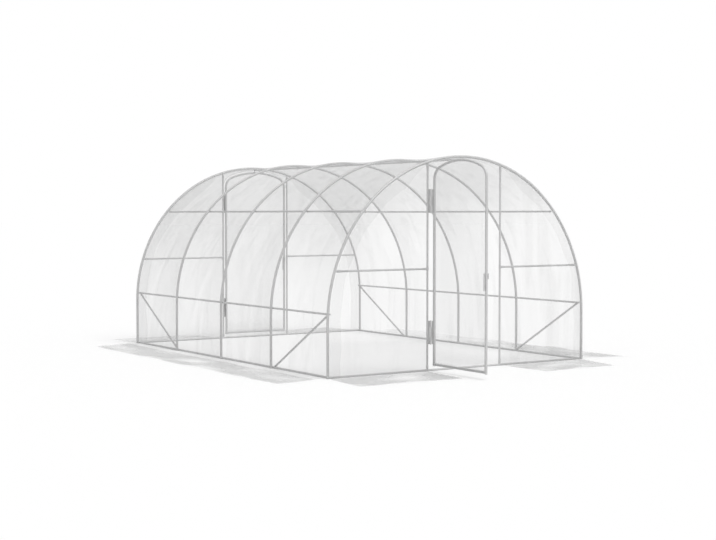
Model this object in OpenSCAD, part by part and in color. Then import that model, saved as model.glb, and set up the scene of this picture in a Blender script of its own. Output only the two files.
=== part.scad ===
// Polytunnel greenhouse: steel tube hoops under a clear film cover, with a hinged door in each gable.
// X runs across the tunnel, Y along it with the front gable at -Y, and Z up from the ground.

/* [Tunnel] */
// Width between the centrelines of a hoop's two legs
tunnel_w = 3000; // [2400:10:3600]
// Height at which the straight legs pass into the arch
leg_h = 487.5; // [440:0.5:560]
// Distance between hoops
bay = 1000; // [700:10:1400]

/* [Tubes] */
// Diameter of the hoop tubes
hoop_d = 25; // [20:0.5:32]
// Diameter of the rails, posts and braces
tube_d = 19; // [15:0.5:22]
// Diameter of the door frames' tubes
door_tube_d = 25; // [20:0.5:28]

/* [Rails and braces] */
// Height of the side rails
side_rail_h = 567.5; // [540:0.5:700]
// Height of the side purlins
purlin_h = 1477; // [1200:1:1600]
// Height of the gable rails
gable_rail_h = 946.5; // [700:0.5:1200]
// Distance from an end hoop's centreline back to the ends of the side rails and purlins
rail_end_gap = 8; // [0:1:20]
// Distance from a hoop's centreline to the point where a brace meets a rail
brace_gap = 20; // [15:1:60]

/* [Doors] */
// How far the doors stand to the right of the tunnel's middle
door_shift = 17.5; // [0:0.5:60]
// Distance between the centrelines of the two door posts
post_spacing = 860; // [830:1:1000]
// Distance from a post's centreline to the centreline of the stile beside it
stile_gap = 38; // [34:0.5:70]
// Height of the door's bottom rail
door_bottom_h = 64.5; // [45:0.5:120]
// Distance from the hoop's top down to the top of the door's crown, both at their centrelines
door_drop = 51.5; // [47:0.5:180]
// Radius of the door's crown
crown_r = 870; // [700:10:1200]
// Radius of the bend between a stile and the crown
corner_r = 120; // [60:5:200]
// How far the front door stands open, in degrees
front_open_angle = 91.5; // [0:0.5:115]
// How far the back door stands open, in degrees
back_open_angle = 0; // [0:0.5:115]

/* [Hinges and latches] */
// Distance of the hinge line in front of the door's tubes
hinge_out = 27; // [25:0.5:34]
// Length of each hinge
hinge_len = 215; // [120:5:260]
// Length of a knuckle fixed to the post
knuckle_len = 60; // [30:1:60]
// Distance from the door's bottom rail up to the lower hinge
low_hinge_rise = 187.5; // [60:0.5:300]
// Distance from the top of the door's crown down to the upper hinge
high_hinge_drop = 256; // [200:1:500]
// Diameter of a hinge's barrel
barrel_d = 16; // [14:0.5:18]
// Diameter of a hinge pin
pin_d = 8; // [5:0.5:9]
// Thickness of a hinge leaf
leaf_t = 3; // [2:0.5:5]
// Height of the latch's spindle
latch_h = 930; // [700:1:1100]
// Diameter of the latch's spindle
spindle_d = 8; // [6:0.5:10]
// Length of the latch's lever below the spindle
lever_len = 150; // [80:1:180]
// Width of the lever
lever_w = 12; // [10:0.5:20]
// Thickness of the lever
lever_t = 7; // [5:0.5:12]
// Distance from the door's tubes out to the lever
lever_gap = 8; // [8:0.5:25]
// Length of the tongue that turns behind the post
tongue_len = 46; // [44:1:90]
// Width of the tongue
tongue_w = 10; // [9:0.5:20]
// Thickness of the tongue
tongue_t = 4; // [3:0.5:6]

/* [Film] */
// Thickness of the film sheets
film_t = 2; // [1:0.1:3]
// How far the cover sinks in between two hoops
film_sag = 18; // [6:1:22]
// Width of the film that lies on the ground beside the tunnel
side_flap_w = 560; // [300:10:700]
// Width of the film that lies on the ground in front of the gables
gable_flap_w = 620; // [300:10:700]

/* [Clearances] */
// Gap between pieces that seat on each other
seat = 0.3; // [0.2:0.05:0.5]
// Gap around the hinge pins and the latch spindles
pin_gap = 0.1; // [0.05:0.01:0.2]
// Gap around the knuckles where a hinge leaf is cut back
knuckle_gap = 3; // [1:0.5:4]
// Gap between the door's crown and the film over it
head_gap = 8; // [6:0.5:15]
// Gap between the latch's tongue and the tubes that it passes
tongue_gap = 6; // [5:0.5:10]

/* [Hidden] */
$fn = 48;
bays = 4;
steel = [0.72, 0.73, 0.74];
dark_steel = [0.48, 0.49, 0.50];
film = [0.93, 0.95, 0.96, 0.4];
front = 1;
back = -1;
left = -1;
right = 1;
// Slack that carries a cutting shape past the faces that it cuts
past = 1;

arch_r = tunnel_w / 2;
half_l = bay * bays / 2;
// Radius on which the tubes inside the hoops lie
inner_r = arch_r - hoop_d / 2 - seat - tube_d / 2;
frame_end = half_l + hoop_d / 2;
rail_end = half_l - rail_end_gap;

gable_y = frame_end + seat;
gable_r = arch_r + hoop_d / 2;
gable_top = leg_h + gable_r;
cover_r = gable_r + seat;
cover_end = gable_y + film_t;
// The cover's curve between two hoops is an arc that bows towards the tunnel's axis
sag_r = (pow(bay / 2, 2) + pow(film_sag, 2)) / (2 * film_sag);
sag_centre = cover_r - film_sag + sag_r;
sag_steps = 1400;
// Outside of the cover at its two ends, where its curve runs on past the last hoop
cover_out_r = sag_centre - sqrt(pow(sag_r - film_t, 2) - pow(bay / 2 + cover_end - half_l, 2));

post_x = post_spacing / 2;
door_x = post_x - stile_gap;
// The hinge line stands midway between the post and the stile
hinge_x = (post_x + door_x) / 2;
door_face = door_tube_d / 2 + seat;
// How far a door's film reaches past its tubes' centrelines: it ends beside the hinge leaves that pass its plane
film_reach = min(door_tube_d / 2, floor(stile_gap / 2 * door_face / hinge_out - leaf_t));
corner_x = door_x - corner_r;
corner_rise = sqrt(pow(crown_r - corner_r, 2) - pow(corner_x, 2));
door_top_h = leg_h + arch_r - door_drop;
crown_centre_h = door_top_h - crown_r;
door_spring_h = crown_centre_h + corner_rise;
corner_turn = atan2(corner_rise, corner_x);
low_hinge_h = door_bottom_h + low_hinge_rise;
high_hinge_h = door_top_h - high_hinge_drop - hinge_len;
lever_y = door_tube_d / 2 + lever_gap;
tongue_y = door_tube_d / 2 + tongue_gap;
spindle_end = lever_y + lever_t;

// Distance from the tunnel's axis to a tube that lies against the hoops at height h
function inner_x(h) = h <= leg_h ? inner_r : sqrt(pow(inner_r, 2) - pow(h - leg_h, 2));
// Distance from the tunnel's axis to the hoop's centreline at height h
function hoop_x(h) = h <= leg_h ? arch_r : sqrt(pow(arch_r, 2) - pow(h - leg_h, 2));
// Distance from the tunnel's middle to a door post
function post_at(side) = door_shift + side * post_x;
// Height of the hoop's centreline at distance x from the tunnel's axis
function hoop_z(x) = leg_h + sqrt(pow(arch_r, 2) - pow(x, 2));

// Puts what is drawn for the front gable at the front, or mirrored at the back
module at_end(end) {
    mirror([0, end == back ? 1 : 0, 0]) translate([0, -half_l, 0]) children();
}

// Turns what is drawn for a closed door about the hinge line
module at_door(end) {
    turn = end == front ? front_open_angle : back_open_angle;
    at_end(end)
        translate([door_shift - hinge_x, -hinge_out, 0])
            rotate([0, 0, -turn])
                translate([hinge_x, hinge_out, 0]) children();
}

// A straight tube from point p to point q
module tube(p, q, d) {
    run = q - p;
    translate(p)
        rotate([0, acos(run.z / norm(run)), atan2(run.y, run.x)])
            cylinder(d = d, h = norm(run));
}

// A bent tube in the X and Z plane, from one angle through a turn about a centre
module bend(centre_x, centre_h, r, start, turn, d) {
    translate([centre_x, 0, centre_h])
        rotate([90, 0, 0])
            rotate([0, 0, start])
                rotate_extrude(angle = turn, $fn = 180) translate([r, 0]) circle(d = d);
}

module hoop_tube(d) {
    for (side = [left, right])
        translate([side * arch_r, 0, 0]) cylinder(d = d, h = leg_h);
    bend(0, leg_h, arch_r, 0, 180, d);
}

module hoop(number) {
    color(steel) translate([0, number * bay - half_l, 0]) hoop_tube(hoop_d);
}

module lengthwise_tube(x, h, reach, d) {
    tube([x, -reach, h], [x, reach, h], d);
}

module base_tube(side, d) {
    lengthwise_tube(side * inner_r, tube_d / 2, half_l - tube_d / 2 - seat, d);
}

module side_tube(side, d) {
    lengthwise_tube(side * inner_x(side_rail_h), side_rail_h, rail_end, d);
}

module side_base_rail(side) {
    color(steel) base_tube(side, tube_d);
}

module side_rail(side) {
    color(steel) side_tube(side, tube_d);
}

module purlin(side) {
    color(steel) lengthwise_tube(side * inner_x(purlin_h), purlin_h, rail_end, tube_d);
}

module ridge_purlin() {
    color(steel) lengthwise_tube(0, leg_h + inner_r, rail_end, tube_d);
}

module post_tube(side, d) {
    translate([post_at(side), 0, 0]) cylinder(d = d, h = hoop_z(post_at(side)));
}

// Room for the hoop and the posts, cut out of the tubes that butt against them
module gable_seats() {
    hoop_tube(hoop_d + 2 * seat);
    for (side = [left, right]) post_tube(side, tube_d + 2 * seat);
}

// The gable's ground tube, in three lengths: beside the posts and across the doorway
module gable_base_rail(end) {
    color(steel) at_end(end) difference() {
        tube([-arch_r, 0, tube_d / 2], [arch_r, 0, tube_d / 2], tube_d);
        translate([0, 0, -past]) gable_seats();
    }
}

module gable_rails(end) {
    reach = hoop_x(gable_rail_h);
    color(steel) at_end(end) difference() {
        for (side = [left, right])
            tube([post_at(side), 0, gable_rail_h], [side * reach, 0, gable_rail_h], tube_d);
        gable_seats();
    }
}

module door_post(end, side) {
    color(steel) at_end(end) difference() {
        post_tube(side, tube_d);
        hoop_tube(hoop_d + 2 * seat);
    }
}

// Diagonals in the two end bays of a side wall, from the side rail by the end hoop to the base rail by the next
module braces(side) {
    top_x = side * inner_x(side_rail_h);
    foot_x = side * inner_r;
    top_y = half_l - brace_gap;
    foot_y = half_l - bay + brace_gap;
    color(steel) difference() {
        for (end = [front, back])
            tube([top_x, -end * top_y, side_rail_h], [foot_x, -end * foot_y, tube_d / 2], tube_d);
        side_tube(side, tube_d + 2 * seat);
        base_tube(side, tube_d + 2 * seat);
    }
}

// The cover cut across the hoops, as distance from the tunnel's axis against length
module cover_section() {
    depth = 2 * film_sag + film_t + 2 * past;
    for (number = [0 : bays - 1]) {
        low = number == 0 ? -cover_end : number * bay - half_l;
        high = number == bays - 1 ? cover_end : (number + 1) * bay - half_l;
        intersection() {
            translate([sag_centre, (number + 0.5) * bay - half_l]) difference() {
                circle(r = sag_r, $fn = sag_steps);
                circle(r = sag_r - film_t, $fn = sag_steps);
            }
            translate([cover_r - film_sag - past, low]) square([depth, high - low]);
        }
    }
}

module cover_film() {
    color(film) {
        linear_extrude(height = leg_h) {
            cover_section();
            mirror([1, 0]) cover_section();
        }
        translate([0, 0, leg_h])
            rotate([90, 0, 0]) rotate_extrude(angle = 180, $fn = 180) cover_section();
    }
}

// Stands a flat sheet, drawn as X against Z, on a gable's outer side
module upright_sheet(face) {
    translate([0, -face, 0]) rotate([90, 0, 0]) linear_extrude(height = film_t) children();
}

module gable_outline() {
    translate([-gable_r, 0]) square([2 * gable_r, leg_h]);
    intersection() {
        translate([0, leg_h]) circle(r = gable_r, $fn = 180);
        translate([-gable_r, leg_h]) square([2 * gable_r, gable_r]);
    }
}

module gable_film(end, side) {
    low_x = side == left ? -gable_r : post_at(right);
    color(film) at_end(end) upright_sheet(gable_y - half_l) intersection() {
        gable_outline();
        translate([low_x, 0]) square([gable_r - side * post_at(side), gable_top]);
    }
}

// The door's outline at a distance outside its tubes' centrelines
module door_outline(grow) {
    wedge_h = crown_r + grow;
    wedge_x = wedge_h / tan(corner_turn);
    translate([-door_x - grow, door_bottom_h - grow])
        square([2 * door_x + 2 * grow, door_spring_h - door_bottom_h + grow]);
    for (side = [left, right])
        translate([side * corner_x, door_spring_h]) circle(r = corner_r + grow);
    translate([0, crown_centre_h]) intersection() {
        circle(r = crown_r + grow, $fn = 180);
        polygon([[0, 0], [wedge_x, wedge_h], [-wedge_x, wedge_h]]);
    }
}

// Closes the gable between the door's crown and the hoop
module head_film(end) {
    half_w = post_x - seat;
    color(film) at_end(end) upright_sheet(gable_y - half_l) difference() {
        intersection() {
            gable_outline();
            translate([door_shift - half_w, door_spring_h]) square([2 * half_w, gable_top - door_spring_h]);
        }
        translate([door_shift, 0]) door_outline(door_tube_d / 2 + head_gap);
    }
}

module side_flap(side) {
    low_x = cover_out_r + seat;
    color(film)
        translate([side == left ? -low_x - side_flap_w : low_x, -frame_end, 0])
            cube([side_flap_w, 2 * frame_end, film_t]);
}

module gable_flap(end, side) {
    low_y = gable_y - half_l + film_t + seat;
    color(film) at_end(end)
        translate([side == left ? -gable_r : post_at(right), -low_y - gable_flap_w, 0])
            cube([gable_r - side * post_at(side), gable_flap_w, film_t]);
}

module door_stile(d) {
    translate([door_x, 0, door_bottom_h - door_tube_d / 2])
        cylinder(d = d, h = door_spring_h - door_bottom_h + door_tube_d / 2);
}

// Draws what stands on the right, and its mirror image on the left
module both_sides() {
    children();
    mirror([1, 0, 0]) children();
}

// Two bent tubes for the stiles, a crown between their upper ends and a bottom rail between their feet
module door_frame(end) {
    crown_start = corner_turn + seat / crown_r * 180 / PI;
    color(steel) at_door(end) {
        difference() {
            both_sides() {
                door_stile(door_tube_d);
                bend(corner_x, door_spring_h, corner_r, 0, corner_turn, door_tube_d);
            }
            spindle(door_tube_d, door_tube_d, spindle_d + 2 * pin_gap);
        }
        bend(0, crown_centre_h, crown_r, crown_start, 180 - 2 * crown_start, door_tube_d);
        difference() {
            tube([-door_x, 0, door_bottom_h], [door_x, 0, door_bottom_h], door_tube_d);
            translate([0, 0, -past]) both_sides() door_stile(door_tube_d + 2 * seat);
        }
    }
}

module door_film(end) {
    color(film) at_door(end) difference() {
        upright_sheet(door_face) door_outline(film_reach);
        spindle(2 * door_tube_d, 0, spindle_d + 2 * seat);
    }
}

// A round bar through the free stile, from its outer side to its inner side
module spindle(out, in, d) {
    tube([door_x, -out, latch_h], [door_x, in, latch_h], d);
}

// A flat bar with round ends that hangs from the spindle
module hanging_bar(y, t, w, len) {
    translate([door_x, y, latch_h]) rotate([-90, 0, 0]) {
        for (drop = [0, len - w / 2]) translate([0, drop, 0]) cylinder(d = w, h = t);
        translate([-w / 2, 0, 0]) cube([w, len - w / 2, t]);
    }
}

module latch(end) {
    color(dark_steel) at_door(end) {
        spindle(spindle_end, spindle_end, spindle_d);
        hanging_bar(-spindle_end, lever_t, lever_w, lever_len);
        hanging_bar(tongue_y, tongue_t, tongue_w, tongue_len);
    }
}

// A hinge leaf from the hinge line to a tube, with room for the tube and for the other half's knuckles
module hinge_leaf(tube_x, d, gaps) {
    difference() {
        translate([-hinge_x, -hinge_out, 0])
            rotate([0, 0, atan2(hinge_out, tube_x + hinge_x)])
                translate([0, -leaf_t / 2, 0])
                    cube([norm([tube_x + hinge_x, hinge_out]), leaf_t, hinge_len]);
        translate([tube_x, 0, -past]) cylinder(d = d + 2 * seat, h = hinge_len + 2 * past);
        for (gap = gaps)
            barrel(gap[0], gap[1], barrel_d + 2 * knuckle_gap);
    }
}

// A length of round bar on the hinge line
module barrel(low, high, d) {
    translate([-hinge_x, -hinge_out, low]) cylinder(d = d, h = high - low);
}

module hinge_brackets(end) {
    top_knuckle = hinge_len - knuckle_len;
    color(dark_steel) at_end(end) for (h = [low_hinge_h, high_hinge_h])
        translate([door_shift, 0, h]) {
            hinge_leaf(-post_x, tube_d, [[knuckle_len, top_knuckle]]);
            barrel(0, hinge_len, pin_d);
            barrel(0, knuckle_len, barrel_d);
            barrel(top_knuckle, hinge_len, barrel_d);
        }
}

module door_knuckles(end) {
    low = knuckle_len + seat;
    high = hinge_len - knuckle_len - seat;
    color(dark_steel) at_door(end) for (h = [low_hinge_h, high_hinge_h])
        translate([0, 0, h]) difference() {
            union() {
                hinge_leaf(-door_x, door_tube_d, [[-past, low], [high, hinge_len + past]]);
                barrel(low, high, barrel_d);
            }
            barrel(0, hinge_len, pin_d + 2 * pin_gap);
        }
}

hoop(0);  // front_hoop
hoop(1);  // front_inner_hoop
hoop(2);  // middle_hoop
hoop(3);  // back_inner_hoop
hoop(4);  // back_hoop
side_base_rail(left);  // left_base_rail
side_base_rail(right);  // right_base_rail
gable_base_rail(front);  // front_base_rail
gable_base_rail(back);  // back_base_rail
side_rail(left);  // left_side_rail
side_rail(right);  // right_side_rail
purlin(left);  // left_purlin
purlin(right);  // right_purlin
ridge_purlin();
braces(left);  // left_braces
braces(right);  // right_braces
door_post(front, left);  // front_left_post
door_post(front, right);  // front_right_post
door_post(back, left);  // back_left_post
door_post(back, right);  // back_right_post
gable_rails(front);  // front_gable_rails
gable_rails(back);  // back_gable_rails
cover_film();
gable_film(front, left);  // front_left_film
gable_film(front, right);  // front_right_film
head_film(front);  // front_head_film
gable_film(back, left);  // back_left_film
gable_film(back, right);  // back_right_film
head_film(back);  // back_head_film
side_flap(left);  // left_ground_flap
side_flap(right);  // right_ground_flap
gable_flap(front, left);  // front_left_flap
gable_flap(front, right);  // front_right_flap
gable_flap(back, left);  // back_left_flap
gable_flap(back, right);  // back_right_flap
hinge_brackets(front);  // front_hinge_brackets
hinge_brackets(back);  // back_hinge_brackets
door_frame(front);  // front_door_frame
door_film(front);  // front_door_film
door_knuckles(front);  // front_door_knuckles
latch(front);  // front_latch
door_frame(back);  // back_door_frame
door_film(back);  // back_door_film
door_knuckles(back);  // back_door_knuckles
latch(back);  // back_latch
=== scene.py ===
"""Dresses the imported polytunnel: film sheets, small fixings, materials, light and camera."""

import math

import bpy
import numpy as np
from mathutils import Matrix, Vector


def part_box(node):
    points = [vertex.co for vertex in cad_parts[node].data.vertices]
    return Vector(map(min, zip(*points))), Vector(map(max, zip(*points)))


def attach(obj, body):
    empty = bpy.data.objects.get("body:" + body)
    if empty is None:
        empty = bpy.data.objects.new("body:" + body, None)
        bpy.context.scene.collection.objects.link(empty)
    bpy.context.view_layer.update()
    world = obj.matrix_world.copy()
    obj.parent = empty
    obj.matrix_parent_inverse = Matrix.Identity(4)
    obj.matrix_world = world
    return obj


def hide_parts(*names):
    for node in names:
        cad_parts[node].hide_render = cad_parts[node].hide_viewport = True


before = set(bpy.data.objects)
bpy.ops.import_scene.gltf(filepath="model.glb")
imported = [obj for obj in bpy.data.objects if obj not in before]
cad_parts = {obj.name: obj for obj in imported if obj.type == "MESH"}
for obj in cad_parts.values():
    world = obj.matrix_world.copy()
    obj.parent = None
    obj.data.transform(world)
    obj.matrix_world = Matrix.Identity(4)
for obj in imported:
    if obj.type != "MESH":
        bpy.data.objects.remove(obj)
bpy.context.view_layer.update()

# Sizes of the part that the film and the fixings follow, in metres
ARCH_R = 1.5
LEG_H = 0.4875
HALF_L = 2.0
BAY = 1.0
BAYS = 4
HOOP_D = 0.025
TUBE_D = 0.019
DOOR_TUBE_D = 0.025
SEAT = 0.0003
INNER_R = ARCH_R - HOOP_D / 2 - SEAT - TUBE_D / 2
SIDE_RAIL_H = 0.5675
PURLIN_H = 1.477
RAIL_END_GAP = 0.008
GABLE_RAIL_H = 0.9465
DOOR_SHIFT = 0.0175
POST_X = 0.43
DOOR_X = 0.392
DOOR_BOTTOM_H = 0.0645
DOOR_TOP_H = 1.936
CROWN_R = 0.87
CORNER_R = 0.12
FRONT_OPEN_DEG = 91.5
HINGE_X = (POST_X + DOOR_X) / 2
HINGE_OUT = 0.027
HINGE_LEN = 0.215
KNUCKLE_LEN = 0.06
HINGE_HEIGHTS = (0.252, 1.465)
BARREL_R = 0.008
LEAF_T = 0.003
LATCH_H = 0.93
SPINDLE_R = 0.004
SPINDLE_END = 0.0275
CAD_FILM_T = 0.002
FILM_SAG = 0.018
FILM_REACH = 0.006
HEAD_GAP = 0.008
SIDE_FLAP_W = 0.56
GABLE_FLAP_W = 0.62

GABLE_R = ARCH_R + HOOP_D / 2
GABLE_OUT = HOOP_D / 2 + SEAT
COVER_R = GABLE_R + SEAT
COVER_END = HALF_L + GABLE_OUT + CAD_FILM_T
CORNER_X = DOOR_X - CORNER_R
CORNER_RISE = math.sqrt((CROWN_R - CORNER_R) ** 2 - CORNER_X**2)
CROWN_CENTRE_H = DOOR_TOP_H - CROWN_R
DOOR_SPRING_H = CROWN_CENTRE_H + CORNER_RISE

# Thickness of the sheets as they are drawn
SHEET_T = 0.0012
LEFT, RIGHT = -1, 1
FRONT, BACK = 1, -1
END_NAMES = {FRONT: "front", BACK: "back"}
SIDE_NAMES = {LEFT: "left", RIGHT: "right"}


# Materials


def new_material(name):
    """A material with its Principled node, and a function that adds a node and links what it is given."""
    made = bpy.data.materials.new(name)
    made.use_nodes = True
    tree = made.node_tree
    shader = tree.nodes["Principled BSDF"]

    def add(kind, inputs=None, **settings):
        node = tree.nodes.new(kind)
        for key, value in settings.items():
            setattr(node, key, value)
        for key, value in (inputs or {}).items():
            if isinstance(value, bpy.types.NodeSocket):
                tree.links.new(value, node.inputs[key])
            else:
                node.inputs[key].default_value = value
        return node

    def link(source, key):
        tree.links.new(source, shader.inputs[key])

    return made, shader, add, link


def grey(level):
    return (level, level, level, 1.0)


def ramp(add, source, low, high):
    """Maps a 0 to 1 value to a range."""
    return add("ShaderNodeMapRange", {"Value": source, "To Min": low, "To Max": high}).outputs["Result"]


def grey_ramp(add, source, low, high):
    """Maps a 0 to 1 value to the greys between two levels."""
    mix = add("ShaderNodeMix", {"Factor": source}, data_type="RGBA")
    mix.inputs[6].default_value = grey(low)
    mix.inputs[7].default_value = grey(high)
    return mix.outputs[2]


def galvanised_steel():
    """Zinc-coated tube: faint spangle, cloudy tone and a dull, slightly uneven gloss."""
    made, shader, add, link = new_material("galvanised_steel")
    place = add("ShaderNodeTexCoord").outputs["Object"]
    spangle = add("ShaderNodeTexVoronoi", {"Vector": place, "Scale": 95.0}, feature="F1")
    cloud = add("ShaderNodeTexNoise", {"Vector": place, "Scale": 7.0, "Detail": 5.0, "Roughness": 0.6})
    fine = add("ShaderNodeTexNoise", {"Vector": place, "Scale": 420.0, "Detail": 3.0})
    both = add("ShaderNodeMath", {0: spangle.outputs["Color"], 1: cloud.outputs["Fac"]}, operation="ADD")
    half = add("ShaderNodeMath", {0: both.outputs[0], 1: 0.5}, operation="MULTIPLY")
    link(grey_ramp(add, half.outputs[0], 0.58, 0.72), "Base Color")
    link(ramp(add, cloud.outputs["Fac"], 0.36, 0.58), "Roughness")
    bump = add("ShaderNodeBump", {"Strength": 0.12, "Distance": 0.0006, "Height": fine.outputs["Fac"]})
    link(bump.outputs["Normal"], "Normal")
    shader.inputs["Metallic"].default_value = 0.2
    return made


def ironwork(name, low, high):
    """Painted metal: a coat with a fine orange peel and rubbed places, between two levels of grey."""
    made, shader, add, link = new_material(name)
    place = add("ShaderNodeTexCoord").outputs["Object"]
    rubbed = add("ShaderNodeTexNoise", {"Vector": place, "Scale": 38.0, "Detail": 6.0, "Roughness": 0.65})
    peel = add("ShaderNodeTexNoise", {"Vector": place, "Scale": 650.0, "Detail": 2.0})
    wear = add("ShaderNodeMapRange", {"Value": rubbed.outputs["Fac"], "From Min": 0.35, "From Max": 0.75})
    link(grey_ramp(add, wear.outputs["Result"], low, high), "Base Color")
    link(ramp(add, rubbed.outputs["Fac"], 0.38, 0.58), "Roughness")
    bump = add("ShaderNodeBump", {"Strength": 0.2, "Distance": 0.0004, "Height": peel.outputs["Fac"]})
    link(bump.outputs["Normal"], "Normal")
    shader.inputs["Metallic"].default_value = 0.2
    return made


# Ranges of Layer Weight's facing value and of the streak noise over which the film's density rises; the
# streaks are painted fold light and shade
FACING_SPAN = (0.46, 0.64)
STREAK_SPAN = (0.45, 0.72)

STREAK_SLANT = (0.0, math.radians(16.0), 0.0)
STREAK_SCALE = (4.2, 4.2, 0.55)
FILM_ROUGHNESS = (0.34, 0.52)
FILM_SPECULAR = 0.15


def film(
    name,
    facing_alpha,
    edge_alpha,
    painted_fold_light_alpha=0.0,
    low_alpha=0.0,
    fade=(0.0, 1.0),
    tone=(0.56, 0.66),
    patchy=False,
):
    """Polyethylene sheet: a clear grey, denser where it is seen edge on, with long slanting streaks.

    low_alpha is added to the density low down and fades out between two heights; on the front gable and door
    sheets this is painted shade, for the shaded floor seen through the film. A patchy sheet's density is
    also multiplied by what its points carry.
    """
    made, shader, add, link = new_material(name)
    place = add("ShaderNodeTexCoord").outputs["Object"]
    slanting = {"Vector": place, "Rotation": STREAK_SLANT, "Scale": STREAK_SCALE}
    drawn_out = add("ShaderNodeMapping", slanting).outputs["Vector"]
    streaky = {"Vector": drawn_out, "Scale": 1.3, "Detail": 2.0, "Distortion": 0.6}
    streak = add("ShaderNodeTexNoise", streaky)
    haze = add("ShaderNodeTexNoise", {"Vector": place, "Scale": 1.7, "Detail": 5.0, "Roughness": 0.55})
    link(grey_ramp(add, haze.outputs["Fac"], *tone), "Base Color")
    link(ramp(add, haze.outputs["Fac"], *FILM_ROUGHNESS), "Roughness")

    def between(source, span, to_low, to_high, kind="SMOOTHSTEP"):
        low, high = span
        inputs = {"Value": source, "From Min": low, "From Max": high, "To Min": to_low, "To Max": to_high}
        return add("ShaderNodeMapRange", inputs, interpolation_type=kind).outputs["Result"]

    def combine(kind, first, second):
        return add("ShaderNodeMath", {0: first, 1: second}, operation=kind).outputs[0]

    facing = add("ShaderNodeLayerWeight", {"Blend": 0.5}).outputs["Facing"]
    height = add("ShaderNodeSeparateXYZ", {"Vector": place}).outputs["Z"]
    alpha = between(facing, FACING_SPAN, facing_alpha, edge_alpha, "LINEAR")
    # Slanting streaks of density: painted fold light and shade, in place of the light and shade on the
    # sheet's folds
    alpha = combine("ADD", alpha, between(streak.outputs["Fac"], STREAK_SPAN, 0.0, painted_fold_light_alpha))
    alpha = combine("ADD", alpha, between(height, fade, low_alpha, 0.0))
    if patchy:
        density = add("ShaderNodeAttribute", attribute_name="film_density").outputs["Fac"]
        alpha = combine("MULTIPLY", alpha, density)
    link(alpha, "Alpha")
    shader.inputs["Specular IOR Level"].default_value = FILM_SPECULAR
    return made


STEEL = galvanised_steel()
IRON = ironwork("dark_ironwork", 0.47, 0.57)
LATCH_IRON = ironwork("latch_ironwork", 0.62, 0.74)
# The cover's grey is darker than the other sheets' grey: painted shade on the cover
SHADED_COVER_FILM = film("cover_film", 0.026, 0.14, painted_fold_light_alpha=0.035, tone=(0.38, 0.46))
# The front gable and door films are denser low down, up to the heights in fade: painted shade of the floor
# seen through them
LEFT_FILM = film("left_gable_film", 0.022, 0.24, painted_fold_light_alpha=0.03, low_alpha=0.08, fade=(0.27, 0.39))
RIGHT_FILM = film("right_gable_film", 0.022, 0.24, painted_fold_light_alpha=0.06, low_alpha=0.10, fade=(0.05, 0.17))
DOOR_FILM = film("door_film", 0.08, 0.24, painted_fold_light_alpha=0.02, low_alpha=0.05, fade=(0.13, 0.25))
# A denser film for the back gables, the back head sheet and the door hems; its density is lower towards the
# bottom, from 1.7 m down to 0.2 m
DENSE_FILM = film("dense_film", 0.11, 0.24, painted_fold_light_alpha=0.015, low_alpha=-0.08, fade=(0.2, 1.7))
SEAM_FILM = film("seam_film", 0.07, 0.24)
# The flaps are real film; their extra density over the other sheets is painted shade, for the flaps lying in
# the tunnel's shade
GROUND_FILM = film("ground_film", 0.12, 0.35, patchy=True)
GABLE_FILMS = {
    "front_left": LEFT_FILM,
    "front_right": RIGHT_FILM,
    "back_left": DENSE_FILM,
    "back_right": DENSE_FILM,
}
HEAD_FILMS = {"front": LEFT_FILM, "back": DENSE_FILM}


# Mesh helpers


def make_piece(name, points, faces, material, body, sharp_deg=40.0):
    """A mesh piece in the row frame that rides on a body."""
    mesh = bpy.data.meshes.new(name)
    mesh.from_pydata([tuple(p) for p in points], [], faces)
    mesh.polygons.foreach_set("use_smooth", [True] * len(mesh.polygons))
    mesh.set_sharp_from_angle(angle=math.radians(sharp_deg))
    mesh.materials.append(material)
    piece = bpy.data.objects.new(name, mesh)
    bpy.context.scene.collection.objects.link(piece)
    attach(piece, body)
    return piece


def rim_of(index):
    """The points round a block of a grid, in order."""
    return np.concatenate([index[:-1, 0], index[-1, :-1], index[:0:-1, -1], index[0, :0:-1]])


def find_hole(points, centre, radius):
    """The block of cells round a hole in an upright sheet, and an edge point for each on the block's rim."""
    across = points[-1, 0] - points[0, 0]
    across /= np.linalg.norm(across)
    u = (points - centre) @ across
    v = points[..., 2] - centre[2]
    room = 1.15 * radius
    first = np.flatnonzero((u < -room).all(axis=1))[-1]
    last = np.flatnonzero((u > room).all(axis=1))[0]
    beside = v[first : last + 1]
    low = np.flatnonzero((beside < -room).all(axis=0))[-1]
    high = np.flatnonzero((beside > room).all(axis=0))[0]
    block = (slice(first, last + 1), slice(low, high + 1))
    turn = np.arctan2(rim_of(v[block]), rim_of(u[block]))[:, None]
    return block, centre + radius * (np.cos(turn) * across + np.sin(turn) * np.array([0, 0, 1]))


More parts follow.
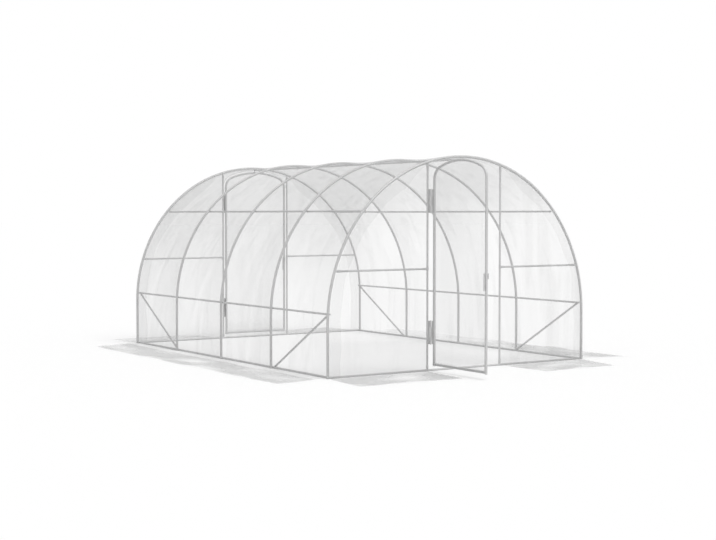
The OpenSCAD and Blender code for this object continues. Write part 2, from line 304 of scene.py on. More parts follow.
def sheet_solid(points, thickness, hole=None):
    """A thin closed solid on both sides of a grid of points, as points and faces that face outwards."""
    rows, columns = points.shape[:2]
    along = np.gradient(points, axis=0)
    across = np.gradient(points, axis=1)
    normal = np.cross(along, across)
    normal /= np.linalg.norm(normal, axis=2, keepdims=True)
    count = rows * columns
    top = (points + normal * thickness / 2).reshape(-1, 3)
    bottom = (points - normal * thickness / 2).reshape(-1, 3)
    index = np.arange(count).reshape(rows, columns)
    cells = np.stack([index[:-1, :-1], index[1:, :-1], index[1:, 1:], index[:-1, 1:]], axis=2)
    kept = np.ones(cells.shape[:2], bool)
    rim = rim_of(index)
    after = np.roll(rim, -1)
    faces = [np.stack([after, rim, rim + count, after + count], axis=1)]
    verts = [top, bottom]
    if hole:
        block, edge = hole
        kept[block[0].start : block[0].stop - 1, block[1].start : block[1].stop - 1] = False
        lift = normal[block].mean(axis=(0, 1)) * thickness / 2
        verts += [edge + lift, edge - lift]
        rim = rim_of(index[block])
        after = np.roll(rim, -1)
        inner = 2 * count + np.arange(len(rim))
        next_inner = np.roll(inner, -1)
        under = inner + len(rim)
        next_under = next_inner + len(rim)
        faces.append(np.stack([rim, after, next_inner, inner], axis=1))
        faces.append(np.stack([under, next_under, after + count, rim + count], axis=1))
        faces.append(np.stack([inner, next_inner, next_under, under], axis=1))
    upper = cells[kept]
    faces += [upper, upper[:, ::-1] + count]
    return np.concatenate(verts), np.concatenate(faces).tolist()


def film_piece(name, points, body, node, material, hole=None):
    """A film sheet; it stands for a CAD film node where one is named."""
    verts, faces = sheet_solid(points, SHEET_T, hole)
    piece = make_piece(name, verts, faces, material, body, 60.0)
    if node:
        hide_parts(node)
    return piece


def waves(seed, u, v, length, heading_deg=0.0, spread_deg=180.0, count=9):
    """A smooth random field of unit size: sine waves of about one length, within a spread of headings."""
    random = np.random.RandomState(seed)
    total = np.zeros_like(u)
    for _ in range(count):
        heading = math.radians(heading_deg + spread_deg * (random.rand() - 0.5))
        run = length * random.uniform(0.7, 1.5)
        phase = random.uniform(0, 2 * math.pi)
        total += np.sin(2 * math.pi * (u * math.cos(heading) + v * math.sin(heading)) / run + phase)
    return total / math.sqrt(count / 2)


def crease(u, v, at, heading_deg, width, length):
    """A soft ridge of unit height through a point, fading out along its heading."""
    heading = math.radians(heading_deg)
    along = (u - at[0]) * math.cos(heading) + (v - at[1]) * math.sin(heading)
    aside = (v - at[1]) * math.cos(heading) - (u - at[0]) * math.sin(heading)
    return np.exp(-((aside / width) ** 2) - (along / length) ** 2)


def smooth(share):
    """Eases a 0 to 1 value in and out."""
    share = np.clip(share, 0, 1)
    return share**2 * (3 - 2 * share)


def post_at(side):
    return DOOR_SHIFT + side * POST_X


def open_turn(end):
    return math.radians(-FRONT_OPEN_DEG if end == FRONT else 0.0)


def at_end(points, end):
    """Carries points drawn for a gable, with the outer side at -Y, to the front or mirrored to the back."""
    placed = np.array(points, float)
    placed[..., 1] = end * (placed[..., 1] - HALF_L)
    return placed if end == FRONT else placed[::-1]


def at_door(points, end):
    """Carries points drawn for a closed door, from its middle, to the door's place at rest."""
    placed = np.array(points, float)
    turn = open_turn(end)
    x = placed[..., 0] + HINGE_X
    y = placed[..., 1] + HINGE_OUT
    placed[..., 0] = x * math.cos(turn) - y * math.sin(turn) + DOOR_SHIFT - HINGE_X
    placed[..., 1] = x * math.sin(turn) + y * math.cos(turn) - HINGE_OUT
    return at_end(placed, end)


def end_matrix(end):
    """The gable's move as a matrix, for fixings; the back gable is a mirror image."""
    return Matrix.Diagonal((1, end, 1, 1)) @ Matrix.Translation((0, -HALF_L, 0))


def door_matrix(end):
    """The door's move as a matrix, for fixings."""
    hinge = Matrix.Translation((DOOR_SHIFT - HINGE_X, -HINGE_OUT, 0))
    from_hinge = Matrix.Translation((HINGE_X, HINGE_OUT, 0))
    return end_matrix(end) @ hinge @ Matrix.Rotation(open_turn(end), 4, "Z") @ from_hinge


class Fixings:
    """Collects small closed solids into one mesh."""

    def __init__(self):
        self.points = []
        self.faces = []

    def lathe(self, profile, place, sides=20):
        """A solid of revolution about local Z from (radius, height) pairs.

        It is a ring, unless the first and the last radius are 0.
        """
        flip = place.determinant() < 0
        rings = []
        for radius, height in profile:
            if radius == 0:
                rings.append([self.point(place @ Vector((0, 0, height)))])
                continue
            ring = []
            for step in range(sides):
                turn = 2 * math.pi * step / sides
                spot = Vector((radius * math.cos(turn), radius * math.sin(turn), height))
                ring.append(self.point(place @ spot))
            rings.append(ring)
        closed = len(rings[0]) > 1
        pairs = list(zip(rings, rings[1:] + rings[:1])) if closed else list(zip(rings, rings[1:]))
        for low, high in pairs:
            for step in range(sides):
                after = (step + 1) % sides
                around = [(low, step), (low, after), (high, after), (high, step)]
                corners = list(dict.fromkeys(ring[spot % len(ring)] for ring, spot in around))
                self.faces.append(corners[::-1] if flip else corners)

    def point(self, place):
        self.points.append(tuple(place))
        return len(self.points) - 1

    def piece(self, name, material, body, slot):
        return make_piece(name, self.points, self.faces, material, body, 35.0)


def turned(origin, axis):
    """A place whose local Z runs along an axis."""
    return Matrix.Translation(origin) @ Vector(axis).to_track_quat("Z", "Y").to_matrix().to_4x4()


# The cover over the hoops

FOLDS_A_WALL = 8
COVER_SOFT_H = 0.0010
COVER_FOLD_H = 0.0018
COVER_WRINKLE_MAX = 0.005
SMOOTH_ROOF = 1.0
FOLDS_FADE_IN = 0.6


def cover_points():
    """The cover as a grid: round the section from left foot to right, and along from front to back."""
    around, steps_per_bay = 232, 40
    radius = COVER_R + SHEET_T / 2
    quarter = radius * math.pi / 2
    reach = quarter + LEG_H
    over_hoops = np.linspace(-HALF_L, HALF_L, BAYS * steps_per_bay + 1)
    lengthwise = np.concatenate([[-COVER_END], over_hoops, [COVER_END]])
    s, y = np.meshgrid(np.linspace(-reach, reach, around), lengthwise, indexing="ij")
    bay = np.clip(np.floor((y + HALF_L) / BAY), 0, BAYS - 1)
    in_bay = (y + HALF_L) / BAY - bay
    off_middle = 2 * in_bay - 1
    sag = FILM_SAG * np.maximum(1 - off_middle**2, 0)
    free = np.sin(math.pi * np.clip(in_bay, 0, 1)) ** 2
    long_waves = waves(3, s, y, length=0.55, heading_deg=20, spread_deg=80)
    short_waves = waves(4, s, y, length=0.26, heading_deg=-15, spread_deg=110)
    soft = 0.55 * long_waves + 0.45 * short_waves
    folds = np.zeros_like(s)
    random = np.random.RandomState(11)
    for number in range(BAYS):
        middle = (number + 0.5) * BAY - HALF_L
        for side in (LEFT, RIGHT):
            for _ in range(FOLDS_A_WALL):
                at = (side * random.uniform(1.3, 2.7), middle + random.uniform(-0.3, 0.3))
                heading = side * random.uniform(6, 30)
                width = random.uniform(0.03, 0.06)
                height = random.uniform(0.6, 1.4) * random.choice([-1, 1])
                folds += height * crease(s, y, at, heading, width, random.uniform(0.35, 0.8))
    off_ridge = smooth((np.abs(s) - SMOOTH_ROOF) / FOLDS_FADE_IN)
    wrinkle = (COVER_SOFT_H * soft + COVER_FOLD_H * folds) * off_ridge
    inward = sag + free * COVER_WRINKLE_MAX * np.tanh(wrinkle / COVER_WRINKLE_MAX)
    turn = np.clip(s, -quarter, quarter) / radius
    leg = np.sign(s) * np.maximum(np.abs(s) - quarter, 0)
    r = radius - inward
    x = r * np.sin(turn)
    z = LEG_H + r * np.cos(turn) - np.abs(leg)
    z = np.where(np.abs(s) > quarter, LEG_H - np.abs(leg), z)
    return np.stack([x, y, np.maximum(z, 0.0)], axis=2)


cover = film_piece("cover_sheet", cover_points(), "frame", "cover_film", SHADED_COVER_FILM)


# The gables

FOLDS_A_GABLE = 7
GABLE_BULGE = 0.0028
GABLE_PIN_RUN = 0.12
LOW_PIN_RUN = 0.08
SEAM_NARROW = 0.016
SEAM_WIDENS = 0.095
SEAM_WIDEN_RUN = 0.3
SEAM_PAST_POST = 0.02
SEAM_UNEVEN = 0.008
SEAM_OUT = 0.0075
SEAM_LIFT = 0.0008
HEAD_WAVE_H = 0.001
HEM_W = 0.012


def gable_arc_h(x):
    """Height of the gable sheet's curved edge at a distance from the middle."""
    return LEG_H + np.sqrt(np.maximum(GABLE_R**2 - x**2, 0))


def gable_points(end, side, seed):
    """A sheet beside the door: columns from the post to the hoop, each from the ground to the arch."""
    columns, rows = 60, 84
    inner_x = side * post_at(side)
    t = np.linspace(0, 1, columns)
    x_line = inner_x + (GABLE_R - inner_x) * np.sin(t * math.pi / 2)
    up = np.linspace(0, 1, rows)
    x = np.repeat(x_line[:, None], rows, axis=1)
    z = gable_arc_h(x_line)[:, None] * up[None, :]
    to_post = (x - inner_x) / GABLE_PIN_RUN
    to_hoop = (GABLE_R - np.hypot(x, np.maximum(z - LEG_H, 0))) / GABLE_PIN_RUN
    to_rail = np.abs(z - GABLE_RAIL_H) / LOW_PIN_RUN
    pinned = np.clip(to_post, 0, 1) * np.clip(to_hoop, 0, 1) * np.clip(z / LOW_PIN_RUN, 0, 1)
    free = pinned**2 * (0.45 + 0.55 * np.clip(to_rail, 0, 1) ** 2)
    long_waves = waves(seed, x, z, length=0.42, heading_deg=0, spread_deg=36)
    short_waves = waves(seed + 1, x, z, length=0.2, heading_deg=8, spread_deg=60)
    soft = 0.8 * long_waves + 0.4 * short_waves
    folds = np.zeros_like(x)
    random = np.random.RandomState(seed + 2)
    for _ in range(FOLDS_A_GABLE):
        at = (random.uniform(inner_x + 0.1, GABLE_R - 0.15), random.uniform(0.2, 1.3))
        height = random.uniform(0.6, 1.3) * random.choice([-1, 1])
        heading = 90 + random.uniform(-14, 22)
        folds += height * crease(x, z, at, heading, width=random.uniform(0.03, 0.06), length=0.6)
    bulge = GABLE_BULGE * (1 + np.tanh(0.7 * soft + 0.9 * folds))
    y = -(GABLE_OUT + SHEET_T / 2) - free * bulge
    return at_end(np.stack([side * x, y, z], axis=2), end)


def seam_points(end):
    """A strip along the edge of a gable's film, beside the hoop; it is narrow over the door."""
    around, across = 260, 9
    radius = ARCH_R - HOOP_D / 2
    quarter = radius * math.pi / 2
    reach = quarter + LEG_H
    s, w = np.meshgrid(np.linspace(-reach, reach, around), np.linspace(0, 1, across), indexing="ij")
    turn = np.clip(s, -quarter, quarter) / radius
    leg = np.maximum(np.abs(s) - quarter, 0)
    past_post = np.abs(radius * np.sin(turn)) - POST_X - SEAM_PAST_POST
    beside_door = smooth(past_post / SEAM_WIDEN_RUN)
    still = np.zeros_like(s)
    uneven = SEAM_UNEVEN * waves(51 + end, s, still, length=0.6, heading_deg=0, spread_deg=1) * beside_door
    width = SEAM_NARROW + beside_door * SEAM_WIDENS + uneven
    r = radius - w * width
    lift = SEAM_LIFT * waves(53 + end, s, w * width, length=0.3, heading_deg=10, spread_deg=120) * w
    x = r * np.sin(turn)
    z = np.where(leg > 0, LEG_H - leg, LEG_H + r * np.cos(turn))
    y = -(GABLE_OUT + SEAM_OUT + np.abs(lift))
    return at_end(np.stack([x, y, np.maximum(z, 0.0)], axis=2), end)


def door_edge_h(x, grow):
    """Height of the door's outline at a distance from the door's middle."""
    crown = CROWN_R + grow
    bend = CORNER_R + grow
    tangent = crown * CORNER_X / (CROWN_R - CORNER_R)
    aside = np.abs(x)
    over_crown = CROWN_CENTRE_H + np.sqrt(np.maximum(crown**2 - aside**2, 0))
    over_bend = DOOR_SPRING_H + np.sqrt(np.maximum(bend**2 - (aside - CORNER_X) ** 2, 0))
    edge = np.where(aside <= tangent, over_crown, over_bend)
    return np.where(aside >= CORNER_X + bend, DOOR_SPRING_H, edge)


def head_points(end):
    """The small sheet between the door's crown and the hoop."""
    columns, rows = 72, 9
    half_w = POST_X - SEAT
    grow = DOOR_TUBE_D / 2 + HEAD_GAP
    t = np.linspace(-1, 1, columns)
    door_x = half_w * np.sin(t * math.pi / 2)
    x_line = door_x + DOOR_SHIFT
    low = door_edge_h(door_x, grow)
    high = gable_arc_h(x_line)
    up = np.linspace(0, 1, rows)[None, :]
    x = np.repeat(x_line[:, None], rows, axis=1)
    z = low[:, None] * (1 - up) + high[:, None] * up
    free = np.sin(math.pi * np.clip((1 - up) / 1.6, 0, 1)) ** 2
    soft = waves(61 + end, x, z, length=0.16, heading_deg=0, spread_deg=60)
    y = -(GABLE_OUT + SHEET_T / 2) - HEAD_WAVE_H * free * soft
    return at_end(np.stack([x, y, z], axis=2), end)


def head_hem_points(sheet, end):
    """The lower edge of the sheet over a door, turned up as a hem on its outer side."""
    rise = np.linspace(0, HEM_W, 4)
    out = np.full_like(rise, -end * (SHEET_T + SEAT))
    offset = np.stack([np.zeros_like(rise), out, rise], axis=1)
    return sheet[:, :1] + offset[None, :, :]


for end in (FRONT, BACK):
    end_name = END_NAMES[end]
    seam = film_piece(end_name + "_seam", seam_points(end), "frame", None, SEAM_FILM)
    for side in (LEFT, RIGHT):
        name = end_name + "_" + SIDE_NAMES[side]
        points = gable_points(end, side, 20 + 10 * (end == FRONT) + 5 * (side == LEFT))
        sheet = film_piece(name + "_sheet", points, "frame", name + "_film", GABLE_FILMS[name])
        inner_x = side * post_at(side)
        gable_arc_h(np.array(inner_x)).item()
    points = head_points(end)
    head_film = HEAD_FILMS[end_name]
    head = film_piece(end_name + "_head_sheet", points, "frame", end_name + "_head_film", head_film)
    hem_points = head_hem_points(points, end)
    hem = film_piece(end_name + "_head_hem", hem_points, "frame", None, head_film)


# The doors' sheets

DOOR_FILM_Y = -(DOOR_TUBE_D / 2 + SEAT + SHEET_T / 2)
LATCH_HOLE_R = SPINDLE_R + 0.0006
DOOR_PIN_RUN = 0.09
CROWN_PIN_RUN = 0.12
SHOULDER_DROP = 0.3
DOOR_DRAW_IN = 0.0045
DOOR_WAVE_H = 0.0028
DOOR_HEM_W = 0.035


def door_points(end, seed):
    """A door's sheet on the outer side of its tubes, drawn in a little between them."""
    columns, level_rows, crown_rows = 56, 90, 24
    t = np.linspace(-1, 1, columns)
    x_line = (DOOR_X + FILM_REACH) * np.sin(t * math.pi / 2)
    high = door_edge_h(x_line, FILM_REACH)
    shoulder = DOOR_SPRING_H - SHOULDER_DROP
    level = np.linspace(DOOR_BOTTOM_H - FILM_REACH, shoulder, level_rows)
    round_latch = LATCH_H + LATCH_HOLE_R * np.linspace(-2.4, 2.4, 9)
    clear_of_latch = np.abs(level - LATCH_H) > 3 * LATCH_HOLE_R
    level = np.sort(np.concatenate([level[clear_of_latch], round_latch]))
    up = np.linspace(0, 1, crown_rows)[None, 1:]
    to_crown = shoulder + (high[:, None] - shoulder) * up
    z = np.concatenate([np.repeat(level[None, :], columns, axis=0), to_crown], axis=1)
    x = np.repeat(x_line[:, None], z.shape[1], axis=1)
    to_side = (DOOR_X - np.abs(x)) / DOOR_PIN_RUN
    to_top = (high[:, None] - z) / CROWN_PIN_RUN
    to_foot = (z - DOOR_BOTTOM_H) / DOOR_PIN_RUN
    free = smooth(np.clip(to_side, 0, 1) * np.clip(to_top, 0, 1) * np.clip(to_foot, 0, 1))
    long_waves = waves(seed, x, z, length=0.36, heading_deg=0, spread_deg=50)
    short_waves = waves(seed + 1, x, z, length=0.18, heading_deg=0, spread_deg=90)
    soft = 0.8 * long_waves + 0.4 * short_waves
    y = DOOR_FILM_Y + free * (DOOR_DRAW_IN + DOOR_WAVE_H * np.tanh(0.8 * soft))
    return at_door(np.stack([x, y, z], axis=2), end)


def door_hem_points(end):
    """The lower edge of a door's sheet, turned up as a hem over the bottom rail."""
    reach = DOOR_X + FILM_REACH
    rise = np.linspace(0, DOOR_HEM_W, 4)
    x, up = np.meshgrid(np.linspace(-reach, reach, 40), rise, indexing="ij")
    y = np.full_like(x, -(DOOR_TUBE_D / 2 + 2 * SEAT + 1.5 * SHEET_T))
    return at_door(np.stack([x, y, DOOR_BOTTOM_H - FILM_REACH + up], axis=2), end)


for end in (FRONT, BACK):
    body = END_NAMES[end] + "_door"
    points = door_points(end, 70 + 5 * (end == FRONT))
    spindle = at_door([[[DOOR_X, DOOR_FILM_Y, LATCH_H]]], end)[0, 0]
    hole = find_hole(points, spindle, LATCH_HOLE_R)
    sheet = film_piece(body + "_sheet", points, body, body + "_film", DOOR_FILM, hole)
    hem_points = door_hem_points(end)
    hem = film_piece(body + "_hem", hem_points, body, None, DENSE_FILM)


# The film that lies on the ground

FLAP_STEP = 0.03
FLAP_ROOT_H = 0.012
FLAP_ROOT_RUN = 0.07
FLAP_RIPPLE_H = 0.0042
FLAP_CLEAR = 0.0004
SIDE_FLAP_CLEAR_W = 0.07
GABLE_FLAP_CLEAR_W = 0.03


def flap_points(length, width, clear, start_slant, end_slant, seed):
    """A flap's points as distances out from the wall, along it and up, and its film's density at each.

    The density is low beside the wall, for a width, and the two ends slant at the free edge.
    """
    across = 44
    steps = int(length / FLAP_STEP)
    share, along = np.meshgrid(np.linspace(0, 1, across), np.linspace(0, length, steps), indexing="ij")
    still = np.zeros_like(along)
    uneven = 1 + 0.012 * waves(seed + 3, along, still, length=1.1, heading_deg=0, spread_deg=1)
    out = width * uneven * share**1.15
    place = along / length
    slant = start_slant * (1 - place) + end_slant * place
    from_wall = FLAP_ROOT_H * (1 - smooth(out / FLAP_ROOT_RUN))
    long_waves = waves(seed, along, out, length=0.8, heading_deg=12, spread_deg=36)
    short_waves = waves(seed + 1, along, out, length=0.36, heading_deg=-8, spread_deg=50)
    ripple = long_waves + 0.35 * short_waves
    lifted = FLAP_RIPPLE_H * np.maximum(0, ripple) * smooth(out / 0.1)
    z = SHEET_T / 2 + FLAP_CLEAR + lifted + from_wall
    patches = 0.95 + 0.25 * waves(seed + 5, along, out * 2.5, length=0.75, heading_deg=0, spread_deg=120)
    fade = smooth((1 - share) / 0.1) * smooth(place / 0.025) * smooth((1 - place) / 0.025)
    beyond = 0.3 + 0.7 * smooth((out - clear) / clear)
    density = np.clip(patches, 0.3, 1.2) * (0.12 + 0.88 * fade) * beyond
    return out, along + slant * share, z, density


def flap_piece(name, points, density, node):
    """A flap's sheet, whose points carry the film's density."""
    piece = film_piece(name, points, "frame", node, GROUND_FILM)
    values = piece.data.attributes.new("film_density", "FLOAT", "POINT")
    values.data.foreach_set("value", np.tile(density.ravel(), 2))
    return piece


SIDE_SLANTS = {LEFT: (-0.10, -0.11), RIGHT: (-0.09, -0.04)}
GABLE_SLANTS = {LEFT: (-0.065, -0.055), RIGHT: (0.04, -0.13)}
RIGHT_FLAP_PAINTED_LIGHT = 0.75
BACK_FLAP_SHARE = 0.5

for side in (LEFT, RIGHT):
    name = SIDE_NAMES[side] + "_ground_flap"
    low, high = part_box(name)
    length = high.y - low.y
    seed = 100 + 10 * (side == LEFT)
    slants = SIDE_SLANTS[side]
    out, along, z, density = flap_points(length, SIDE_FLAP_W, SIDE_FLAP_CLEAR_W, *slants, seed)
    # The right flap grows clearer towards the back: painted light, for the brightly lit far part of that
    # flap
    if side == RIGHT:
        towards_back = smooth((along / length - 0.3) / 0.3)
        density = density * (1 - RIGHT_FLAP_PAINTED_LIGHT * towards_back)
    wall = high.x if side == LEFT else low.x
    points = np.stack([wall + side * out, low.y + along, z], axis=2)
    if side == LEFT:
        points = points[::-1]
        density = density[::-1]
    flap = flap_piece(SIDE_NAMES[side] + "_ground_sheet", points, density, name)

for end in (FRONT, BACK):
    for side in (LEFT, RIGHT):
        name = END_NAMES[end] + "_" + SIDE_NAMES[side] + "_flap"
        low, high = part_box(name)
        length = high.x - low.x
        seed = 140 + 20 * (end == FRONT) + 10 * (side == LEFT)
        slants = GABLE_SLANTS[side]
        out, along, z, density = flap_points(length, GABLE_FLAP_W, GABLE_FLAP_CLEAR_W, *slants, seed)
        if end == BACK:
            density = BACK_FLAP_SHARE * density
        wall = high.y if end == FRONT else low.y
        points = np.stack([low.x + along, wall - end * out, z], axis=2)
        if end == BACK:
            points = points[::-1]
            density = density[::-1]
        flap = flap_piece(name.replace("_flap", "_ground_sheet"), points, density, name)


# Nuts where the rails and purlins cross the hoops

WASHER_T = 0.0013
NUT_H = 0.0041
WASHER = [(0, 0), (0.0062, 0), (0.0066, 0.0004), (0.0066, 0.0010), (0.0062, WASHER_T), (0, WASHER_T)]
NUT = [(0, 0), (0.0052, 0), (0.0055, 0.0005), (0.0055, 0.0036), (0.0049, NUT_H), (0, NUT_H)]
NUT_FROM_END = 0.008
NUT_SINK = 0.0006
BOLT_END = [(0, 0), (0.0028, 0), (0.0028, 0.0014), (0.0022, 0.0020), (0, 0.0020)]


def add_nut(fixings, place, spin=0.0):
    """A washer, a hexagon nut and the bolt's end, one on the other along local Z."""
    fixings.lathe(WASHER, place, 24)
    turned_nut = place @ Matrix.Translation((0, 0, WASHER_T)) @ Matrix.Rotation(spin, 4, "Z")
    fixings.lathe(NUT, turned_nut, 6)
    fixings.lathe(BOLT_END, place @ Matrix.Translation((0, 0, WASHER_T + NUT_H)), 14)


def section_angle(height):
    """Angle from upright of a tube that lies against the hoops at a height."""
    return math.acos((height - LEG_H) / INNER_R)


nuts = Fixings()
random = np.random.RandomState(5)
crossings = [(0.0, LEG_H)]
for side in (LEFT, RIGHT):
    crossings += [(side * section_angle(h), LEG_H) for h in (SIDE_RAIL_H, PURLIN_H)]
    crossings.append((side * math.pi / 2, TUBE_D / 2))
for number in range(BAYS + 1):
    last = HALF_L - RAIL_END_GAP - NUT_FROM_END
    y = max(-last, min(last, number * BAY - HALF_L))
    for turn, centre_h in crossings:
        if centre_h < LEG_H and number in (0, BAYS):
            continue
        outward = Vector((math.sin(turn), 0, math.cos(turn)))
        seat = Vector((0, y, centre_h)) + outward * (INNER_R - TUBE_D / 2 + NUT_SINK)
        add_nut(nuts, turned(seat, -outward), random.uniform(0, math.pi / 3))
nuts.piece("crossing_nuts", STEEL, "frame", "tube")


# Sleeves where the gable's tubes meet


def sleeve(bore, wall, length, lip=0.0012):
    """Profile of a short tube around another, with rounded ends."""
    out = bore + wall
    return [(bore, 0), (out - lip, 0), (out, lip), (out, length - lip), (out - lip, length), (bore, length)]


SLEEVE_LEN = 0.034
SLEEVE_WALL = 0.0018
SLEEVE_CLEAR = 0.0001
SLEEVE_PAST_POST = 0.0022
SLEEVE_FOOT_H = 0.0225
SLEEVE_BELOW_HOOP = 0.050
SLEEVE_BEFORE_HOOP = 0.048
TUBE_SLEEVE = sleeve(TUBE_D / 2 + SLEEVE_CLEAR, SLEEVE_WALL, SLEEVE_LEN)
sleeves = Fixings()
for end in (FRONT, BACK):
    base = end_matrix(end)
    for side in (LEFT, RIGHT):
        post_top = LEG_H + math.sqrt(ARCH_R**2 - post_at(side) ** 2) - HOOP_D / 2 - SLEEVE_BELOW_HOOP
        for height in (SLEEVE_FOOT_H, GABLE_RAIL_H - SLEEVE_LEN / 2, post_top):
            sleeves.lathe(TUBE_SLEEVE, base @ Matrix.Translation((post_at(side), 0, height)), 28)
        rail_end = math.sqrt(ARCH_R**2 - (GABLE_RAIL_H - LEG_H) ** 2) - HOOP_D / 2 - SLEEVE_BEFORE_HOOP
        for x in (side * post_at(side) + TUBE_D / 2 + SLEEVE_PAST_POST, rail_end):
            place = turned((side * x, 0, GABLE_RAIL_H), (side, 0, 0))
            sleeves.lathe(TUBE_SLEEVE, base @ place, 28)
sleeves.piece("gable_sleeves", STEEL, "frame", "tube")


# Weld beads and caps on the doors

DOOR_R = DOOR_TUBE_D / 2
BEAD_SINK = 0.0006
BEAD_H = 0.0021
BEAD_W = 0.0055
BEAD_STEPS = 8
BEAD_FROM_STILE = 0.0012


def bead_at(share):
    """A point of a weld bead's round profile, by its share of the way across."""
    return DOOR_R - BEAD_SINK + BEAD_H * max(0.0, math.sin(math.pi * share)), BEAD_W * (share - 0.5)


BEAD = [bead_at(step / BEAD_STEPS) for step in range(BEAD_STEPS + 1)]
FOOT_CAP = [
    (0, -0.0035),
    (DOOR_R - 0.0020, -0.0035),
    (DOOR_R + 0.0003, -0.0020),
    (DOOR_R + 0.0005, 0.0),
    (DOOR_R + 0.0005, 0.008),
    (DOOR_R + 0.0001, 0.0084),
    (0, 0.0084),
]
CROWN_TURN = math.atan2(CORNER_RISE, CORNER_X)

for end in (FRONT, BACK):
    beads = Fixings()
    base = door_matrix(end)
    for side in (LEFT, RIGHT):
        joint = (side * CROWN_R * math.cos(CROWN_TURN), 0, CROWN_CENTRE_H + CROWN_R * math.sin(CROWN_TURN))
        tangent = (-side * math.sin(CROWN_TURN), 0, math.cos(CROWN_TURN))
        beads.lathe(BEAD, base @ turned(joint, tangent), 28)
        rail_end = (side * (DOOR_X - DOOR_R - BEAD_FROM_STILE), 0, DOOR_BOTTOM_H)
        beads.lathe(BEAD, base @ turned(rail_end, (side, 0, 0)), 28)
        foot = Matrix.Translation((side * DOOR_X, 0, DOOR_BOTTOM_H - DOOR_R))
        beads.lathe(FOOT_CAP, base @ foot, 28)
    beads.piece(END_NAMES[end] + "_door_welds", STEEL, END_NAMES[end] + "_door", "tube")


# Screws and pin caps on the hinges

SCREW = [(0, 0), (0.0036, 0), (0.0036, 0.0005), (0.0029, 0.0015), (0.0014, 0.0019), (0, 0.0019)]
PIN_CAP = [(0, 0), (0.0078, 0), (0.0080, 0.0008), (0.0069, 0.0026), (0.0040, 0.0038), (0, 0.0042)]
SCREW_SINK = 0.0002
SCREW_INSETS = (0.018, 0.042)
DOOR_SCREW_INSET = 0.02


def leaf_screw(base, tube_x, tube_r, height):
    """Place of a screw on the outer face of a hinge leaf that runs from the hinge line to a tube."""
    run = Vector((tube_x + HINGE_X, HINGE_OUT, 0))
    along = run.normalized()
    face = Vector((along.y, -along.x, 0))
    if face.y > 0:
        face = -face
    middle = (BARREL_R + run.length - tube_r) / 2
    spot = Vector((-HINGE_X, -HINGE_OUT, height)) + along * middle + face * (LEAF_T / 2 - SCREW_SINK)
    return base @ turned(spot, face)


for end in (FRONT, BACK):
    on_post = Fixings()
    on_door = Fixings()
    post_base = end_matrix(end) @ Matrix.Translation((DOOR_SHIFT, 0, 0))
    door_base = door_matrix(end)
    for low in HINGE_HEIGHTS:
        top = low + HINGE_LEN
        on_post.lathe(PIN_CAP, post_base @ turned((-HINGE_X, -HINGE_OUT, top), (0, 0, 1)), 24)
        on_post.lathe(PIN_CAP, post_base @ turned((-HINGE_X, -HINGE_OUT, low), (0, 0, -1)), 24)
        outer, inner = SCREW_INSETS
        for height in (low + outer, low + inner, top - inner, top - outer):
            on_post.lathe(SCREW, leaf_screw(post_base, -POST_X, TUBE_D / 2, height), 18)
        inset = KNUCKLE_LEN + DOOR_SCREW_INSET
        for height in (low + inset, low + HINGE_LEN / 2, top - inset):
            on_door.lathe(SCREW, leaf_screw(door_base, -DOOR_X, DOOR_R, height), 18)
    on_post.piece(END_NAMES[end] + "_post_screws", IRON, "frame", "ironwork")
    on_door.piece(END_NAMES[end] + "_door_screws", IRON, END_NAMES[end] + "_door", "ironwork")


# Collars and screw heads on the latches

COLLAR_BORE = SPINDLE_R + 0.0005
COLLAR_CLEAR = 0.0002
COLLAR_SINK = 0.0004
COLLAR = [(COLLAR_BORE, 0), (0.0075, 0), (0.0075, 0.0008), (0.0062, 0.0024), (COLLAR_BORE, 0.0028)]
INNER_COLLAR = [(COLLAR_BORE, 0), (0.0066, 0), (0.0066, 0.0008), (0.0056, 0.0022), (COLLAR_BORE, 0.0026)]

for end in (FRONT, BACK):
    name = END_NAMES[end]
    base = door_matrix(end)
    collars = Fixings()
    outer = turned((DOOR_X, -(DOOR_R + SEAT + SHEET_T + COLLAR_CLEAR), LATCH_H), (0, -1, 0))
    inner = turned((DOOR_X, DOOR_R - COLLAR_SINK, LATCH_H), (0, 1, 0))
    collars.lathe(COLLAR, base @ outer, 28)
    collars.lathe(INNER_COLLAR, base @ inner, 28)
    collars.piece(name + "_latch_collars", LATCH_IRON, name + "_door", "ironwork")
    heads = Fixings()
    for way in (-1, 1):
        heads.lathe(SCREW, base @ turned((DOOR_X, way * SPINDLE_END, LATCH_H), (0, way, 0)), 18)
    heads.piece(name + "_spindle_ends", LATCH_IRON, name + "_latch", "ironwork")


# Materials and smooth shading of the CAD nodes, of which the film ones are replaced by the sheets

HINGE_ENDINGS = ("hinge_brackets", "door_knuckles")


def near_hinge_line(spot, end):
    """Whether a point lies on a barrel, not on a hinge leaf."""
    aside = (spot.x - DOOR_SHIFT + HINGE_X, spot.y + end * (HALF_L + HINGE_OUT))
    return math.hypot(*aside) < BARREL_R * 1.05


for name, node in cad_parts.items():
    mesh = node.data
    mesh.materials.clear()
    mesh.polygons.foreach_set("use_smooth", [True] * len(mesh.polygons))
    mesh.set_sharp_from_angle(angle=math.radians(30.0))
    if name.endswith("_latch"):
        mesh.materials.append(LATCH_IRON)
    elif name.endswith(HINGE_ENDINGS):
        mesh.materials.append(IRON)
        mesh.materials.append(STEEL)
        end = FRONT if name.startswith("front") else BACK
        # Barrels take the lighter galvanised steel and leaves the darker ironwork; the lighter barrel is
        # partly painted highlight, for the barrels' shine
        for face in mesh.polygons:
            face.material_index = int(near_hinge_line(node.matrix_world @ face.center, end))
    else:
        mesh.materials.append(STEEL)


# Stage, light and camera

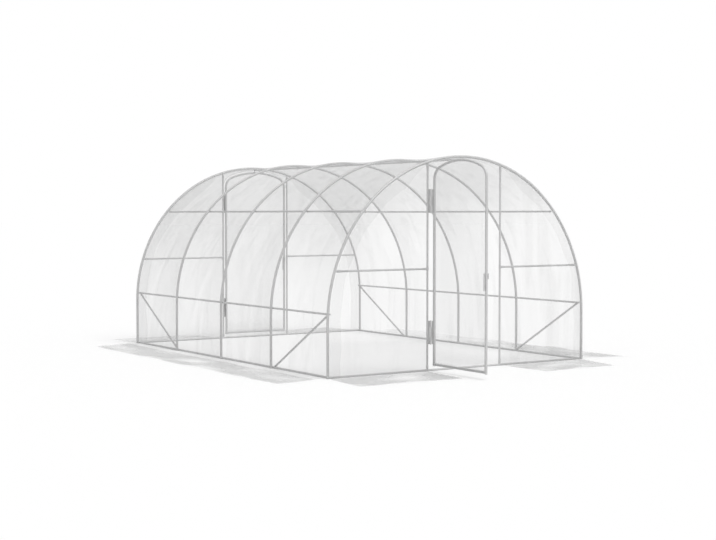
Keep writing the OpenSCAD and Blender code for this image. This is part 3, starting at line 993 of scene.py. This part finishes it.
WORLD_GREY = 0.55
SUN_LEVEL = 0.42
SUN_FROM = Vector((0.05, -0.45, 0.89)).normalized()
FLOOR_GREY = 0.9
FLOOR_LIT = FLOOR_GREY * (WORLD_GREY + SUN_LEVEL * SUN_FROM.z)
FLOOR_GLOW = 1.0 - FLOOR_LIT
FLOOR_HALF = 150.0
FLOOR_DROP = 0.0005
SUN_SPREAD_DEG = 40.0
CAMERA_AT = (-7.8881, -12.111, 1.4507)
CAMERA_DOWN_DEG = 2.3448
CAMERA_TURN_DEG = -33.56
CAMERA_LENS = 68.54


def seen_directly(nodes, links):
    """1 for a camera, glossy or transmission ray, and 0 for the rays that light the object."""
    path = nodes.new("ShaderNodeLightPath")
    total = path.outputs["Is Camera Ray"]
    for key in ("Is Glossy Ray", "Is Transmission Ray"):
        larger = nodes.new("ShaderNodeMath")
        larger.operation = "MAXIMUM"
        links.new(total, larger.inputs[0])
        links.new(path.outputs[key], larger.inputs[1])
        total = larger.outputs[0]
    return total


world = bpy.data.worlds.new("studio")
bpy.context.scene.world = world
world.use_nodes = True
nodes = world.node_tree.nodes
links = world.node_tree.links
soft_sky = nodes["Background"]
soft_sky.inputs["Color"].default_value = grey(WORLD_GREY)
white_sky = nodes.new("ShaderNodeBackground")
white_sky.inputs["Color"].default_value = grey(1.0)
choose = nodes.new("ShaderNodeMixShader")
links.new(seen_directly(nodes, links), choose.inputs["Fac"])
links.new(soft_sky.outputs[0], choose.inputs[1])
links.new(white_sky.outputs[0], choose.inputs[2])
links.new(choose.outputs[0], nodes["World Output"].inputs["Surface"])

floor_material = bpy.data.materials.new("studio_floor")
floor_material.use_nodes = True
nodes = floor_material.node_tree.nodes
links = floor_material.node_tree.links
nodes.remove(nodes["Principled BSDF"])
matt = nodes.new("ShaderNodeBsdfDiffuse")
matt.inputs["Color"].default_value = grey(FLOOR_GREY)
glow = nodes.new("ShaderNodeEmission")
glow_level = nodes.new("ShaderNodeMath")
glow_level.operation = "MULTIPLY"
glow_level.inputs[1].default_value = FLOOR_GLOW
links.new(seen_directly(nodes, links), glow_level.inputs[0])
links.new(glow_level.outputs[0], glow.inputs["Strength"])
both = nodes.new("ShaderNodeAddShader")
links.new(matt.outputs[0], both.inputs[0])
links.new(glow.outputs[0], both.inputs[1])
links.new(both.outputs[0], nodes["Material Output"].inputs["Surface"])

floor_mesh = bpy.data.meshes.new("studio_floor")
corners = [(x * FLOOR_HALF, y * FLOOR_HALF, -FLOOR_DROP) for x, y in ((-1, -1), (1, -1), (1, 1), (-1, 1))]
floor_mesh.from_pydata(corners, [], [(0, 1, 2, 3)])
floor_mesh.materials.append(floor_material)
floor = bpy.data.objects.new("studio_floor", floor_mesh)
bpy.context.scene.collection.objects.link(floor)

sun_data = bpy.data.lights.new("sun", "SUN")
sun_data.energy = SUN_LEVEL * math.pi
sun_data.angle = math.radians(SUN_SPREAD_DEG)
sun = bpy.data.objects.new("sun", sun_data)
sun.rotation_mode = "QUATERNION"
sun.rotation_quaternion = SUN_FROM.to_track_quat("Z", "Y")
bpy.context.scene.collection.objects.link(sun)

camera_data = bpy.data.cameras.new("camera")
camera_data.lens = CAMERA_LENS
camera_data.sensor_width = 36.0
camera_data.clip_end = 500.0
camera = bpy.data.objects.new("camera", camera_data)
camera.location = CAMERA_AT
camera.rotation_euler = (math.radians(90 - CAMERA_DOWN_DEG), 0.0, math.radians(CAMERA_TURN_DEG))
bpy.context.scene.collection.objects.link(camera)
bpy.context.scene.camera = camera
bpy.context.scene.view_settings.view_transform = "Standard"
bpy.context.scene.cycles.transparent_max_bounces = 32
